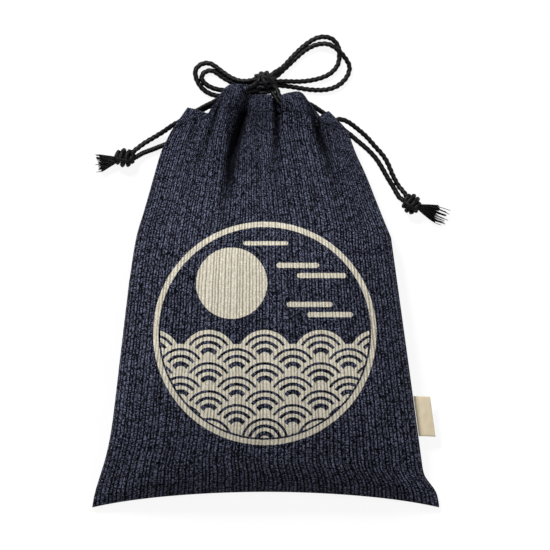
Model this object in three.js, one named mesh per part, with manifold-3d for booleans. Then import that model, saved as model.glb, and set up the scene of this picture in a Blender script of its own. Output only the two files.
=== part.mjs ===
// Drawstring pouch of ribbed navy cotton, filled and drawn nearly shut, lying flat on its back.
// Millimetres. X runs across, Y from the bottom seam to the mouth, Z up from the surface it lies on.
import * as THREE from "three";
import { mergeVertices } from "three/addons/utils/BufferGeometryUtils.js";
import Module from "manifold-3d";

// Driving sizes of the cloth
const bottomWidth = 208;
const pouchLength = 225; // side seam, from the bottom corner to the side slit
const bottomY = -126.5; // the bottom corners
const bottomBow = 9.3; // how far the middle of the bottom seam is drawn up
const clothThickness = 1.1;
const clearance = 0.3; // between touching pieces
const bellyHeight = 35; // crown of the front over the seam
const seamHeight = 12; // the side seam's height at the belly
const mouthLeft = 45.7; // drawn mouth, from the middle line to its left corner
const mouthRight = 38;
const earLeft = 6.5; // how far each bottom corner flares out
const earRight = 6.8;
const earLengthLeft = 20; // and how far up the side it still shows
const earLengthRight = 14;
const taperLeft = 0.118; // how fast each side runs in towards the mouth
const taperRight = 0.138;

// Driving sizes of the casing, the cords and the small parts
const cordDiameter = 2.7;
const channelHeight = 5.2; // room for the cords inside the folded tabs
const casingDepth = 10.5; // from the fold of a tab down to its stitching
const bowKnot = { centre: [-0.5, 128.6, 6.5], radii: [5.7, 7, 6] };
const leftKnot = { centre: [-84.5, 83, 4.9], radii: [6, 5, 4.6] };
const rightKnot = { centre: [87.2, 55.4, 4.9], radii: [5.2, 5.6, 4.6] };
const tasselLength = 13;
const tasselWidth = 8;
const leftTassel = THREE.MathUtils.degToRad(192); // the way each tassel lies
const rightTassel = THREE.MathUtils.degToRad(-21);
const tagWidth = 10;
const tagHeight = 24;
const tagThickness = 0.9;
const tagY = -83.5; // lower end of the tag on the side seam
const printRadius = 66;
const printThickness = 0.3;
const printLift = 1.1; // over the cloth, clear of the edges between its flat facets
const printCentre = new THREE.Vector2(-0.5, -21.7);

// A smooth value through a few chosen pairs [place, value].
function through(keys, place) {
  const last = keys.length - 1;
  if (place <= keys[0][0]) return keys[0][1];
  if (place >= keys[last][0]) return keys[last][1];
  let i = 0;
  while (place > keys[i + 1][0]) i += 1;
  const slope = (k) => {
    const low = Math.max(k - 1, 0);
    const high = Math.min(k + 1, last);
    return (keys[high][1] - keys[low][1]) / (keys[high][0] - keys[low][0]);
  };
  const [a, b] = [keys[i], keys[i + 1]];
  const span = b[0] - a[0];
  const s = (place - a[0]) / span;
  const rise = 3 * s * s - 2 * s * s * s;
  const leave = s * (1 - s) * (1 - s) * span * slope(i);
  const arrive = s * s * (s - 1) * span * slope(i + 1);
  return a[1] + (b[1] - a[1]) * rise + leave + arrive;
}

const mix = (a, b, share) => a + (b - a) * share;
const ramp = (low, high, x) => Math.min(Math.max((x - low) / (high - low), 0), 1);

// Side outlines: how far the gathers have drawn each side in, by height along the seam.
const gatherLeft = [[0.6, 0], [0.72, 0.035], [0.79, 0.127], [0.85, 0.21], [0.92, 0.318],
  [0.955, 0.396], [1, 0.572]];
const gatherRight = [[0.72, 0], [0.82, 0.18], [0.885, 0.31], [0.955, 0.5], [1, 0.6]];

const leftSide = {
  ear: earLeft, earLength: earLengthLeft, taper: taperLeft, mouth: mouthLeft, gather: gatherLeft,
};
const rightSide = {
  ear: earRight, earLength: earLengthRight, taper: taperRight, mouth: mouthRight,
  gather: gatherRight,
};

function sideAt(t, { ear, earLength, taper, mouth, gather }) {
  const up = t * pouchLength;
  const plain = bottomWidth / 2 - ear - taper * up;
  const corner = ear * Math.exp(-((up / earLength) ** 2));
  const drawn = through(gather, t);
  return (plain + corner) * (1 - drawn) + mouth * drawn;
}

// Where the cloth between the sides goes: evenly over the belly, bunched at the mouth.
const bunch = [[-1, -1], [-0.74, -0.7], [-0.6, -0.5], [-0.24, -0.21], [0.2, 0.18], [0.63, 0.6],
  [0.8, 0.77], [1, 1]];
const bellyArc = 0.9; // half angle of the belly's arc

function spread(u, t) {
  const belly = Math.sin(u * bellyArc) / Math.sin(bellyArc);
  return mix(belly, through(bunch, u), ramp(0.5, 1, t) ** 2);
}

// The line on which the slits end, as seen from above.
const slitLine = [[-1, 98.5], [-0.85, 103], [-0.74, 106.2], [-0.6, 107], [-0.43, 110], [-0.24, 110],
  [0, 108], [0.2, 108.5], [0.42, 107], [0.62, 101.5], [0.7, 102.5],
  [0.8, 101], [1, 98.5]];

// A point of the body in plan: u runs from side to side, t from the bottom seam to the slits.
function bodyPlan(u, t) {
  const left = -sideAt(t, leftSide);
  const right = sideAt(t, rightSide);
  const low = bottomY + bottomBow * (1 - Math.abs(u) ** 2.3);
  const high = bottomY + pouchLength + through(slitLine, u) - slitLine[0][1];
  const x = (left + right) / 2 + (spread(u, t) * (right - left)) / 2;
  return new THREE.Vector2(x, mix(low, high, t));
}

// Height of the seam that joins the two panels, continued across the inside of the pouch.
const seamRise = [[0, 0], [0.12, 0.5], [0.35, 1], [0.65, 0.92], [1, 0.5]];
const seamFloor = clothThickness + clearance;
const bottomLift = 7.5; // the middle of the bottom seam over its corners

function seamAt(u, t) {
  const side = seamFloor + (seamHeight - seamFloor) * through(seamRise, t);
  const bottom = bottomLift * (1 - u * u) ** 0.7;
  return side + bottom * (1 - t) ** 6;
}

// The tabs of the mouth. Each has its own fold line, left to right, as [u, x, y] seen from above,
// and the height of the cloth at the fold as [u, z].
const slits = [
  { from: -0.74, to: -0.6 },
  { from: -0.25, to: -0.23 },
  { from: 0.18, to: 0.22 },
  { from: 0.63, to: 0.8 },
];
const frontFold = [
  [[-1, -46.5, 113], [-0.87, -41.5, 111.8], [-0.74, -36.8, 110.8]],
  [[-0.6, -27.6, 120], [-0.53, -24.2, 124.4], [-0.44, -20.5, 126.3], [-0.25, -11, 126.5]],
  [[-0.23, -9, 120.8], [0.18, 3, 120.8]],
  [[0.22, 12, 120.3], [0.32, 15, 121.6], [0.5, 21, 121.4], [0.63, 26.2, 115.8]],
  [[0.8, 32.6, 107.6], [0.9, 35.2, 109.4], [1, 37.6, 110.9]],
];
const backFold = [
  [[-1, -46, 112.6], [-0.87, -41.5, 112.4], [-0.74, -36.8, 111.8]],
  [[-0.6, -26, 117.5], [-0.44, -20.5, 119], [-0.25, -11, 119]],
  [[-0.23, -9, 119], [0.18, 3, 119.3]],
  [[0.22, 5.5, 119.5], [0.42, 15.5, 119.4], [0.63, 24, 117.5]],
  [[0.8, 33.6, 106.6], [0.9, 36.8, 107.2], [1, 40, 106.4]],
];
const frontMouth = [
  [[-1, 14], [-0.87, 14.4], [-0.74, 14.6]],
  [[-0.6, 22], [-0.43, 24], [-0.25, 20]],
  [[-0.23, 14.6], [0, 15], [0.18, 14.6]],
  [[0.22, 19.5], [0.42, 23], [0.63, 19.5]],
  [[0.8, 14], [0.9, 14.2], [1, 14]],
];
const backMouth = 0.2; // the back tabs lie on the surface
const sideSlit = 0.93; // above this height the side seams are open for the cords
const cornerLift = 13.8; // the front's corners over the surface, clear of the back's casing

// Height of the front's inside at the slits, and the soft folds that run down from them.
const foldKeys = [[-1, 9], [-0.9, 13], [-0.7, 14.6], [-0.61, 16.2], [-0.5, 21], [-0.43, 23],
  [-0.34, 21], [-0.24, 13.8], [-0.12, 14], [0.08, 14], [0.19, 13.8], [0.3, 19],
  [0.42, 22], [0.54, 20], [0.65, 13.8], [0.8, 14], [0.93, 12.5], [1, 9]];
const bellyRise = [[0, 0], [0.035, 0.36], [0.09, 0.62], [0.2, 0.88], [0.4, 1], [0.62, 0.93],
  [0.82, 0.62], [1, 0.3]];

function frontInside(u, t) {
  const across = (1 - Math.abs(u) ** 2.4) ** 0.6;
  const belly = seamAt(u, t) + bellyHeight * through(bellyRise, t) * across;
  const opened = Math.max(cornerLift - through(foldKeys, u), 0) * ramp(sideSlit, 1, t);
  const gathered = through(foldKeys, u) + opened;
  return mix(belly, gathered, ramp(0.58, 1, t) ** 1.8) + clearance / 2;
}

// The back lies flat in its middle and rises to the seam all round.
function backOutside(u, t) {
  const flat = (1 - ramp(0.5, 1, Math.abs(u)) ** 2) * (1 - ramp(0.16, 0, t) ** 2);
  const seam = seamAt(u, t) - clearance / 2 - clothThickness;
  return mix(seam * (1 - flat), backMouth, ramp(sideSlit, 1, t));
}

// Columns and rows of the grid that both panels are made on
const cellsPerTab = 6;
const bodyRows = 15;
const tabRows = 2;
const foldSteps = 4;
const returnRows = [0.3, 0.75, 1]; // shares of the casing's depth, back down from the fold

function columns() {
  const list = [];
  for (let tab = 0; tab <= slits.length; tab += 1) {
    const from = tab === 0 ? -1 : slits[tab - 1].to;
    const to = tab === slits.length ? 1 : slits[tab].from;
    for (let i = 0; i <= cellsPerTab; i += 1) list.push({ u: mix(from, to, i / cellsPerTab), tab });
  }
  return list;
}

// One column of a panel: matching points of its outer and inner faces, from the bottom seam up
// to the slits, up the tab, over its fold and back down the inside to the stitching.
function column(front, u, tab) {
  const outer = [];
  const inner = [];
  const sign = front ? 1 : -1;
  const put = (plan, outerZ, innerZ) => {
    outer.push(new THREE.Vector3(plan.x, plan.y, outerZ));
    inner.push(new THREE.Vector3(plan.x, plan.y, innerZ));
  };
  for (let row = 0; row <= bodyRows; row += 1) {
    const t = (row / bodyRows) ** 1.15;
    const plan = bodyPlan(u, t);
    if (front) put(plan, frontInside(u, t) + clothThickness, frontInside(u, t));
    else put(plan, backOutside(u, t), backOutside(u, t) + clothThickness);
  }
  const fold = (front ? frontFold : backFold)[tab];
  const tip = new THREE.Vector2(
    through(fold.map(([k, x]) => [k, x]), u),
    through(fold.map(([k, x, y]) => [k, y]), u),
  );
  const base = bodyPlan(u, 1);
  const along = tip.clone().sub(base).normalize();
  const radius = channelHeight / 2;
  const crease = tip.clone().addScaledVector(along, -(radius + clothThickness));
  const startZ = front ? frontInside(u, 1) : backOutside(u, 1) + clothThickness;
  const endZ = front ? through(frontMouth[tab], u) : backMouth + clothThickness;
  for (let row = 1; row <= tabRows; row += 1) {
    const share = row / tabRows;
    const plan = base.clone().lerp(crease, share);
    const z = mix(startZ, endZ, share);
    put(plan, z + sign * clothThickness, z);
  }
  const middleZ = endZ - sign * radius;
  for (let step = 1; step < foldSteps; step += 1) {
    const angle = (Math.PI * step) / foldSteps;
    const arc = (r) => {
      const plan = crease.clone().addScaledVector(along, r * Math.sin(angle));
      return new THREE.Vector3(plan.x, plan.y, middleZ + sign * r * Math.cos(angle));
    };
    outer.push(arc(radius + clothThickness));
    inner.push(arc(radius));
  }
  for (const share of [0, ...returnRows]) {
    const back = share * (casingDepth - radius);
    const plan = crease.clone().addScaledVector(along, -back);
    const length = base.distanceTo(crease);
    const above = length > back ? mix(endZ, startZ, back / length) : startZ;
    const room = share === 1 ? clearance : channelHeight;
    const z = above - sign * room;
    put(plan, z - sign * clothThickness, z);
  }
  return { outer, inner };
}

// A sheet of cloth closed round its edges from a grid of matching outer and inner points.
function closedSheet(outer, inner, present = () => true, turned = false) {
  const wide = outer.length;
  const tall = outer[0].length;
  const points = [...outer.flat(), ...inner.flat()];
  const faces = [];
  const at = (c, r, inside) => (inside ? wide * tall : 0) + c * tall + r;
  const quad = (a, b, c, d) => {
    if (turned) faces.push(a, c, b, a, d, c);
    else faces.push(a, b, c, a, c, d);
  };
  const has = (c, r) => c >= 0 && r >= 0 && c < wide - 1 && r < tall - 1 && present(c, r);
  for (let c = 0; c < wide - 1; c += 1) {
    for (let r = 0; r < tall - 1; r += 1) {
      if (!has(c, r)) continue;
      const corners = [[c, r], [c + 1, r], [c + 1, r + 1], [c, r + 1]];
      const [a, b, d, e] = corners.map(([i, j]) => at(i, j, false));
      const [p, q, s, w] = corners.map(([i, j]) => at(i, j, true));
      quad(a, b, d, e);
      quad(p, w, s, q);
      if (!has(c, r - 1)) quad(a, p, q, b);
      if (!has(c + 1, r)) quad(b, q, s, d);
      if (!has(c, r + 1)) quad(d, s, w, e);
      if (!has(c - 1, r)) quad(e, w, p, a);
    }
  }
  const geometry = new THREE.BufferGeometry().setFromPoints(points);
  geometry.setIndex(faces);
  return geometry;
}

function panel(front) {
  const list = columns();
  const made = list.map(({ u, tab }) => column(front, u, tab));
  const present = (c, r) => list[c].tab === list[c + 1].tab || r < bodyRows;
  return closedSheet(made.map((m) => m.outer), made.map((m) => m.inner), present, !front);
}

// The place on the body that lies under a point seen from above, as [u, t].
function bodyPlace(x, y) {
  let u = 0;
  let t = 0.5;
  for (let round = 0; round < 25; round += 1) {
    const here = bodyPlan(u, t);
    u = Math.min(Math.max(u + (x - here.x) / (bottomWidth / 2), -1), 1);
    t = Math.min(Math.max(t + (y - here.y) / pouchLength, 0), 1);
  }
  return [u, t];
}

// Joining and cutting of closed meshes
const wasm = await Module();
wasm.setup();

function solid(geometry) {
  const bare = new THREE.BufferGeometry();
  bare.setAttribute("position", geometry.getAttribute("position"));
  if (geometry.index) bare.setIndex(geometry.index);
  const merged = mergeVertices(bare, 1e-4);
  const mesh = new wasm.Mesh({
    numProp: 3,
    vertProperties: merged.attributes.position.array,
    triVerts: new Uint32Array(merged.index.array),
  });
  return new wasm.Manifold(mesh);
}

function geometryOf(shape) {
  const mesh = shape.getMesh();
  const geometry = new THREE.BufferGeometry();
  geometry.setAttribute("position", new THREE.BufferAttribute(mesh.vertProperties, 3));
  geometry.setIndex(new THREE.BufferAttribute(mesh.triVerts, 1));
  return geometry;
}

// Moves a flat shape onto the front of the pouch, just clear of the cloth.
const frontCloth = new THREE.Mesh(panel(true));
const down = new THREE.Vector3(0, 0, -1);

function drape(geometry) {
  const place = geometry.getAttribute("position");
  for (let i = 0; i < place.count; i += 1) {
    const above = new THREE.Vector3(place.getX(i), place.getY(i), 2 * bellyHeight);
    const [hit] = new THREE.Raycaster(above, down).intersectObject(frontCloth);
    place.setZ(i, hit.point.z + printLift + place.getZ(i));
  }
  return geometry;
}

// The print is a plain ring with rows of round overlapping waves in its lower part and a full moon.
const ringSteps = 64;
const ringWidth = 3.2;
const waveRadius = 16.5;
const waveLine = 2.4;
const waveRows = 5;
const waveTop = -36; // centres of the highest row of waves
const moonRadius = 21;
const moonCentre = new THREE.Vector2(-20, 8);

function arcBand(x, y, radius, width, from, to, steps) {
  const shape = new THREE.Shape();
  shape.absarc(x, y, radius, from, to, false);
  shape.absarc(x, y, radius - width, to, from, true);
  return new THREE.ExtrudeGeometry(shape, {
    depth: printThickness,
    bevelEnabled: false,
    curveSegments: steps,
  });
}

function disc(x, y, radius, steps) {
  const shape = new THREE.Shape().absarc(x, y, radius, 0, 2 * Math.PI, false);
  return new THREE.ExtrudeGeometry(shape, {
    depth: printThickness,
    bevelEnabled: false,
    curveSegments: steps,
  });
}

// Each wave shows its crest between the crests of the row in front of it.
const waveSpread = Math.PI / 2 - Math.asin(0.49) + 0.05;

function printWaves() {
  const { x: cx, y: cy } = printCentre;
  const whole = solid(disc(cx, cy, printRadius, ringSteps));
  let print = whole.subtract(solid(disc(cx, cy, printRadius - ringWidth, ringSteps)));
  for (let row = 0; row < waveRows; row += 1) {
    const y = waveTop - (row * waveRadius) / 2;
    const shift = row % 2 === 0 ? 0 : waveRadius;
    for (let x = -4 * waveRadius + shift; x <= 4 * waveRadius; x += 2 * waveRadius) {
      const from = Math.PI / 2 - waveSpread;
      const band = arcBand(cx + x, y, waveRadius, waveLine, from, Math.PI - from, 6);
      print = print.add(solid(band).intersect(whole));
    }
  }
  const parts = print.decompose().sort((a, b) => b.volume() - a.volume());
  return drape(geometryOf(parts[0]));
}

function printMoon() {
  const moon = new THREE.SphereGeometry(1, 24, 10).rotateX(Math.PI / 2);
  moon.scale(moonRadius, moonRadius, printThickness / 2);
  moon.translate(moonCentre.x, moonCentre.y, printThickness / 2);
  return drape(moon);
}

// The tag is sewn into the right seam and stands out from it, dropping a little.
const tagDrop = 2.2;
const tagLean = 2.6; // the outer edge is this much lower than the sewn one

function sideTag() {
  const outer = [];
  const inner = [];
  for (let i = 0; i <= 4; i += 1) {
    const along = i / 4;
    outer.push([]);
    inner.push([]);
    for (let j = 0; j <= 4; j += 1) {
      const [, t] = bodyPlace(bottomWidth / 2, tagY + (j / 4) * tagHeight);
      const seam = bodyPlan(1, t);
      const x = seam.x + clearance + along * tagWidth;
      const y = seam.y - along * along * tagLean;
      const z = seamAt(1, t) - tagDrop * along * along;
      outer[i].push(new THREE.Vector3(x, y, z + tagThickness / 2));
      inner[i].push(new THREE.Vector3(x, y, z - tagThickness / 2));
    }
  }
  return closedSheet(outer, inner);
}

// A cord is a round tube along points chosen by hand.
function cordAlong(points) {
  const path = new THREE.CatmullRomCurve3(points.map((p) => new THREE.Vector3(...p)), false,
    "centripetal");
  const section = new THREE.Shape();
  section.absarc(0, 0, cordDiameter / 2, 0, 2 * Math.PI, false);
  const steps = Math.min(Math.round(path.getLength() / (2 * cordDiameter)), 80);
  return new THREE.ExtrudeGeometry(section, { steps, extrudePath: path, curveSegments: 4 });
}

// Two cords, each through the front tabs and back through the back tabs. The first has its ends
// at the left, the second at the right, and bights of both are tied into the bow.
const cords = {
  first_cord_front: [
    [-81.8, 84.9, 4.9], [-79.5, 86.5, 5], [-73.3, 91.4, 3.2], [-66.7, 95.4, 3.2], [-61, 99.2, 5],
    [-56.5, 104.2, 8.6], [-51.5, 107.1, 11.1], [-45.7, 106.3, 12], [-41.2, 104.5, 12.9],
    [-36.7, 105.1, 13.7], [-33.1, 107.8, 14.5], [-30.1, 111.5, 16.7], [-26.1, 115.3, 19.9],
    [-21.1, 118.3, 21.5], [-16.6, 119.5, 19.1], [-12.3, 120.6, 16.5], [-8.9, 122.4, 13.2],
    [-6.4, 124.8, 9.3], [-3.7, 127, 7.8],
  ],
  first_cord_left_loop: [
    [-3.3, 130.7, 7.4], [-6.6, 130.6, 7.9], [-11.2, 129.8, 7], [-16.2, 130.2, 5.4],
    [-21.4, 132.6, 3.8], [-27.3, 136.6, 2.3], [-33.4, 139.6, 1.7], [-38.2, 139.3, 1.7],
    [-42, 135.8, 1.7], [-41.3, 129.8, 1.7], [-37.1, 123.8, 1.7], [-31.6, 120.8, 1.7],
    [-25.6, 120, 1.7], [-20, 120.6, 1.7], [-13.8, 122.5, 2.3], [-6.8, 123.8, 3.6],
    [-3.1, 125.9, 4.8],
  ],
  first_cord_right_loop: [
    [2.2, 130.6, 6.6], [4, 133, 6.4], [8.6, 137.4, 4.2], [14.4, 143.8, 2.2], [20.4, 149.8, 1.7],
    [26.4, 153.9, 1.7], [32.6, 155.4, 1.7], [38.6, 154.2, 1.7], [42.4, 150, 1.5],
    [44.1, 144.7, 1.5], [43.2, 138.9, 1.7], [38.8, 133.7, 1.7], [31.4, 131.2, 2], [21, 129.4, 3.2],
    [13, 128.7, 4.8], [6.6, 128.6, 6.2], [2.5, 128.6, 6.4],
  ],
  first_cord_back: [
    [2.5, 127.3, 9.3], [5.1, 125.7, 11.8], [7.3, 122, 14.4], [9.1, 117.5, 16.3], [14, 117.1, 18.3],
    [18.9, 116.8, 20], [22.9, 115.2, 18], [26.8, 112.1, 16.4], [29.5, 109.3, 13.5],
    [30.7, 105.1, 11.7], [33.6, 104.3, 11.2], [37, 107, 11.5], [40.4, 108.3, 11.8],
    [43.1, 108.2, 8.3], [43.8, 104.4, 4], [40.4, 103.1, 3.8], [37, 103.5, 4.6], [33, 102.8, 4.5],
    [30.9, 106.2, 5.5], [28.8, 110.8, 5], [25.4, 114, 4.4], [20.8, 115.3, 3.8], [16.3, 116.2, 3.7],
    [11.2, 116.4, 3.7], [6.2, 116.3, 3.7], [2, 116.2, 3.7], [-3.8, 116.1, 3.7],
    [-10.5, 116.1, 3.8], [-16.9, 115.9, 3.8], [-22.5, 115.2, 3.9], [-27.7, 114.6, 3.9],
    [-32.4, 113.9, 4], [-35.3, 109.9, 4], [-39.1, 108.2, 3.8], [-43.8, 109.4, 3.8],
    [-49, 109.8, 3.1], [-52.7, 106.5, 1.7], [-55.7, 101.7, 2.4], [-59, 97.1, 2.6],
    [-62.4, 92, 1.7], [-67, 87.8, 1.8], [-74, 85.2, 2.4], [-79.6, 82.6, 4], [-81.8, 82.8, 4.4],
  ],
  second_cord_front: [
    [84.9, 58.6, 4.5], [83, 62.1, 3.8], [80.6, 66.8, 2], [77, 73.4, 1.8], [74, 80.6, 1.8],
    [71, 85.4, 1.8], [66.2, 90.8, 2], [61.4, 96.2, 3], [54.8, 101.4, 6], [48.5, 104.6, 9.4],
    [43.4, 105.7, 11.3], [39.6, 103.2, 11.7], [35.8, 101.8, 12.6], [32.4, 102.6, 13.9],
    [29, 105.5, 15.2], [26, 109.2, 16.2], [22.8, 111.9, 19], [17.9, 114, 19.6],
    [13.7, 113.2, 17.9], [9.2, 114.7, 15.5], [6.2, 118.5, 12.3], [3.7, 122.5, 9.8],
    [1.4, 125.4, 8.2],
  ],
  second_cord_left_loop: [
    [-3.6, 129.4, 5.7], [-7.5, 128.5, 5.3], [-12.7, 127.6, 4.1], [-19.8, 128.9, 2.5],
    [-26.2, 132.4, 1.7], [-32.2, 135.3, 1.7], [-37, 134, 1.7], [-38.4, 130.5, 1.7],
    [-35, 126.5, 1.7], [-28.6, 124, 1.7], [-22.6, 123.6, 1.7], [-15.8, 125, 1.7], [-8.7, 126.8, 2],
    [-3.7, 128, 3.4],
  ],
  second_cord_right_loop: [
    [2, 129.7, 4.8], [5.2, 131, 3.2], [10, 135.2, 1.8], [16, 140.8, 1.7], [23, 147, 1.8],
    [30.2, 150.7, 2.8], [37.4, 151, 4.8], [43, 147.8, 4.9], [47.5, 142.9, 3.2], [50.2, 137.6, 1.7],
    [48.6, 131.6, 1.7], [43.4, 126.4, 1.7], [36.2, 123.9, 1.7], [25.4, 124, 1.7], [17, 125.4, 2],
    [10, 126.2, 2.8], [4.2, 126.6, 4], [2.1, 127.4, 5.1],
  ],
  second_cord_back: [
    [-3.5, 128.8, 9], [-5.7, 128.8, 11.8], [-7.8, 125.4, 14.9], [-11.3, 123.2, 17.6],
    [-16.2, 123.2, 19.8], [-20.5, 122.2, 21], [-25.2, 119, 19.4], [-30.5, 115.4, 18.4],
    [-33.2, 114.5, 14.2], [-35.3, 109.8, 12.5], [-38.5, 106.9, 11.8], [-42.7, 109.2, 11.4],
    [-46.7, 109.8, 11.4], [-50.3, 110, 10.3], [-52.1, 109.2, 6.6], [-50.4, 106.3, 4.4],
    [-47.1, 105.6, 4.1], [-44.1, 105.4, 3.4], [-40.8, 103.8, 3.2], [-36.5, 104.5, 3.1],
    [-32.7, 107.2, 2.9], [-29, 110.4, 3], [-23.7, 111.6, 3.4], [-18.3, 112.4, 3.6],
    [-12.2, 112.7, 3.7], [-4.1, 112.8, 3.7], [4, 112.9, 3.7], [11.6, 113, 3.7], [18.4, 112.3, 3.6],
    [23.6, 110.7, 3.5], [28.1, 108.1, 2.5], [30.8, 103.6, 2.4], [34.9, 100.4, 3.1],
    [40.4, 100, 3.1], [46.1, 101.2, 2.9], [51.2, 100.3, 2.3], [53.8, 94.5, 1.9], [60.2, 87.8, 1.8],
    [65.6, 82, 1.8], [69.4, 76, 1.8], [72.8, 70, 1.8], [76.4, 64.2, 1.8], [80.3, 59.1, 3.1],
    [83.7, 56.9, 4],
  ],
};

// A knot is a rounded bundle whose wraps show as slanting ridges. Grown a little, the same shape
// cuts back the cords that run into it.
const knotRidge = 0.06;
const knotWraps = 5;

function knotSolid({ centre, radii }, grown = 0) {
  const ball = new THREE.SphereGeometry(1, 20, 12).rotateX(Math.PI / 2);
  const place = ball.getAttribute("position");
  for (let i = 0; i < place.count; i += 1) {
    const point = new THREE.Vector3().fromBufferAttribute(place, i);
    const level = Math.sqrt(point.x ** 2 + point.y ** 2);
    const turn = level < 0.01 ? 0 : knotWraps * Math.atan2(point.y, point.x) + 3 * point.z;
    point.multiplyScalar(1 + knotRidge * level * Math.cos(turn));
    place.setXYZ(i, point.x, point.y, point.z);
  }
  ball.scale(...radii.map((radius) => radius + grown));
  ball.translate(...centre);
  return solid(ball);
}

// The bow's knot has the ends of its two wraps standing up side by side at the top.
const bowStub = 2.3;

function bowSolid(grown = 0) {
  const [x, y, z] = bowKnot.centre;
  let shape = knotSolid(bowKnot, grown);
  for (const side of [-1, 1]) {
    const stub = new THREE.SphereGeometry(bowStub + grown, 12, 8);
    stub.translate(x + side * (bowStub - 0.3), y + bowKnot.radii[1] - 1.2, z + 1);
    shape = shape.add(solid(stub));
  }
  return shape;
}

function largest(shape) {
  return shape.decompose().sort((a, b) => b.volume() - a.volume())[0];
}

// A tassel is a flat tapered bunch of strands beyond its knot.
function tassel(knot, direction) {
  const steps = 14;
  const tuft = new THREE.CylinderGeometry(1, 0.55, tasselLength, steps, 3);
  const place = tuft.getAttribute("position");
  for (let i = 0; i < place.count; i += 1) {
    const angle = Math.atan2(place.getZ(i), place.getX(i));
    const level = Math.hypot(place.getX(i), place.getZ(i));
    const strand = 1 + 0.1 * Math.cos((angle * steps) / 2);
    place.setX(i, level * strand * Math.cos(angle));
    place.setZ(i, level * strand * Math.sin(angle));
  }
  tuft.scale(tasselWidth / 2, 1, tasselWidth / 4);
  tuft.rotateZ(direction - Math.PI / 2);
  const along = new THREE.Vector3(Math.cos(direction), Math.sin(direction), 0);
  const middle = new THREE.Vector3(...knot.centre).addScaledVector(along, tasselLength * 0.85);
  tuft.translate(middle.x, middle.y, tasselWidth / 4 + 0.6);
  return largest(solid(tuft).subtract(knotSolid(knot, clearance)));
}

const tied = [bowSolid(clearance), knotSolid(leftKnot, clearance), knotSolid(rightKnot, clearance)];

function cordBetween(points) {
  const cut = tied.reduce((shape, knot) => shape.subtract(knot), solid(cordAlong(points)));
  return geometryOf(largest(cut));
}

const group = new THREE.Group();

function add(name, geometry, material) {
  const mesh = new THREE.Mesh(geometry, material);
  mesh.name = name;
  group.add(mesh);
}

const cloth = new THREE.MeshStandardMaterial({ color: 0x2e3242, roughness: 0.95, metalness: 0 });
const cord = new THREE.MeshStandardMaterial({ color: 0x121214, roughness: 0.8, metalness: 0 });
const ink = new THREE.MeshStandardMaterial({ color: 0xcfc4a2, roughness: 0.9, metalness: 0 });
const tape = new THREE.MeshStandardMaterial({ color: 0xcbbf9f, roughness: 0.9, metalness: 0 });

add("front_panel", frontCloth.geometry, cloth);
add("back_panel", panel(false), cloth);
add("side_tag", sideTag(), tape);
add("print_waves", printWaves(), ink);
add("print_moon", printMoon(), ink);
for (const [name, points] of Object.entries(cords)) add(name, cordBetween(points), cord);
add("bow_knot", geometryOf(bowSolid()), cord);
add("left_end_knot", geometryOf(knotSolid(leftKnot)), cord);
add("right_end_knot", geometryOf(knotSolid(rightKnot)), cord);
add("left_tassel", geometryOf(tassel(leftKnot, leftTassel)), cord);
add("right_tassel", geometryOf(tassel(rightKnot, rightTassel)), cord);

export default group;
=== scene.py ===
"""Looks of a drawstring pouch: ribbed navy cotton, black braided cords in a bow, a tape tag."""

import math
import random

import bpy
import numpy as np
from mathutils import Matrix, Vector


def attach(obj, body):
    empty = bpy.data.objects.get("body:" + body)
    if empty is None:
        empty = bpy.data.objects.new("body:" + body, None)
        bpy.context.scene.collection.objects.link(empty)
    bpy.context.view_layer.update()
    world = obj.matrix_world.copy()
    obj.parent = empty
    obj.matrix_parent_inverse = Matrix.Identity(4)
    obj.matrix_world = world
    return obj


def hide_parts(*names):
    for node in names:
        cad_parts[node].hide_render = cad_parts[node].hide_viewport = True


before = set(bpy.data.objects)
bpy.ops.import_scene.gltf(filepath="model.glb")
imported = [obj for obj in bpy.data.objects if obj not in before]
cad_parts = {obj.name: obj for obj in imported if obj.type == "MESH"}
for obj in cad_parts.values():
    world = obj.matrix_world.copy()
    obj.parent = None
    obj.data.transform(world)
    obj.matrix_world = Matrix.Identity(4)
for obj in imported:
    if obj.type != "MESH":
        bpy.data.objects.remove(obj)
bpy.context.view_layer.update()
rng = np.random.default_rng(11)
random.seed(11)
MM = 0.001

# Driving sizes in millimetres, most of them the part's
BOTTOM_WIDTH = 208
POUCH_LENGTH = 225
BOTTOM_Y = -126.5
BOTTOM_BOW = 9.7
CLOTH = 1.1
CLEARANCE = 0.3
BELLY_HEIGHT = 35
SEAM_HEIGHT = 12
MOUTH_LEFT = 45.7
MOUTH_RIGHT = 38
EAR_LEFT = 6.5
EAR_RIGHT = 6.8
EAR_LENGTH_LEFT = 27
EAR_LENGTH_RIGHT = 15.5
EAR_CURVE_LEFT = 2
EAR_CURVE_RIGHT = 4
TAPER_LEFT = 0.118
TAPER_RIGHT = 0.138
CORD = 2.7
CHANNEL = 5.2
CASING = 10.5
TAG_WIDTH = 10
TAG_HEIGHT = 24
TAG_THICKNESS = 0.9
TAG_Y = -83.5
TAG_DROP = 2.2
TAG_LEAN = 0.5
BELLY_ARC = 0.9
BELLY_POWERS = (2.4, 0.6)  # they round the belly off towards the side seams
BOTTOM_POWER = 1.9  # and this one the bottom edge towards its corners
DRAWN_FROM = 0.58  # share of the height above which the cloth rises to the drawn mouth
BOTTOM_LIFT = 7.5
BACK_MOUTH = 0.2
SIDE_SLIT = 0.93
CORNER_LIFT = 13.8
FOLD_SHADE_DEPTH = 4.5  # depth of a fold at which its painted shade is darkest
STITCH_LINE = 2.2  # the casing's sewn line, above the foot of the slits, drawn as a dark band of painted shade
STITCH_WIDTH = 0.9
PRINT_RADIUS = 66
PRINT_CENTRE = (-0.5, -21.7)
RING_WIDTH = 3.2
WAVE_RADIUS = 16.5
WAVE_LINE = 2.4
WAVE_TOP = -36
WAVE_MARGIN = 1.2  # plain cloth kept between the waves and the ring
MOON_RADIUS = 21
MOON_CENTRE = (-20, 8)
MIST_GAP = 1.4  # plain cloth kept round each bar of mist
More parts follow.
